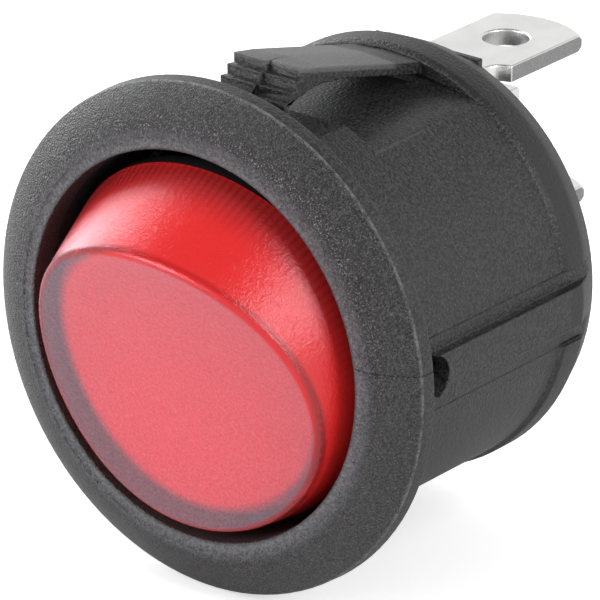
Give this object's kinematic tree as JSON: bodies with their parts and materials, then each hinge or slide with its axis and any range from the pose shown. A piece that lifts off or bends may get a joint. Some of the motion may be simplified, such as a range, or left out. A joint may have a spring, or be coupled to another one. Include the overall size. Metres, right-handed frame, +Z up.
{
  "type": "panel rocker switch",
  "caption": "Round snap-in panel rocker switch with a lit red dished rocker, domed black bezel, two side latch arms and three flat tab terminals at the rear.",
  "frame": {"origin": "middle of the panel cut-out on the panel's outer face, where the bezel's rear face seats", "axes": "+Y along the switch's axis, out of the rear towards the tabs; +X through the key rib at 3 o'clock seen from the front; +Z up through the 12 o'clock latch arm"},
  "size_m": [0.023, 0.0295, 0.023],
  "materials": {
    "black_nylon": "grained black nylon with smooth lip and barrel",
    "red_lens": "translucent red polycarbonate, finely grained face",
    "pale_plastic": "pale nylon",
    "plunger_plastic": "natural acetal",
    "spring_steel": "drawn spring wire",
    "copper_alloy": "stamped copper alloy strip",
    "contact_silver": "silver faced contact",
    "tinned_brass": "stamped brass with matte tin plating",
    "lamp_glass": "clear lamp glass",
    "electrode_metal": "nickel rod",
    "tinned_wire": "tinned wire",
    "resistor_body": "lacquered resistor body",
    "sleeve_plastic": "thin insulating sleeve"
  },
  "bodies": {
    "body": {"housing": "black_nylon", "fixed_contact": "contact_silver", "load_terminal": "tinned_brass", "common_terminal": "tinned_brass", "lamp_terminal": "tinned_brass", "lamp_spring_load": "spring_steel", "lamp_spring_neutral": "spring_steel"},
    "rocker": {"rocker_lens": "red_lens", "rocker_frame": "pale_plastic", "plunger_spring": "spring_steel", "neon_glass": "lamp_glass", "electrode_left": "electrode_metal", "electrode_right": "electrode_metal", "lamp_lead_left": "tinned_wire", "lamp_lead_right": "tinned_wire", "resistor": "resistor_body", "lead_sleeve": "sleeve_plastic"},
    "plunger": {"plunger": "plunger_plastic"},
    "blade": {"contact_blade": "copper_alloy", "moving_contact": "contact_silver"}
  },
  "joints": [
    {"name": "rocker_tip", "type": "hinge", "parent": "body", "child": "rocker", "pos_m": [0, 0.00195, 0], "axis": [-1, 0, 0], "range_deg": [0, 28], "deforming": ["lamp_spring_load", "lamp_spring_neutral"]},
    {"name": "blade_tip", "type": "hinge", "parent": "body", "child": "blade", "pos_m": [0, 0.00885, 0], "axis": [1, 0, 0], "range_deg": [0, 14]},
    {"name": "plunger_slide", "type": "slide", "parent": "rocker", "child": "plunger", "axis": [0, -0.9703, -0.2419], "range_m": [0, 0.0005], "stiffness_N_per_m": 300, "deforming": ["plunger_spring"]}
  ],
  "couplings": [
    {"joint": "blade_tip", "follows": "rocker_tip", "ratio": 0.5}
  ]
}
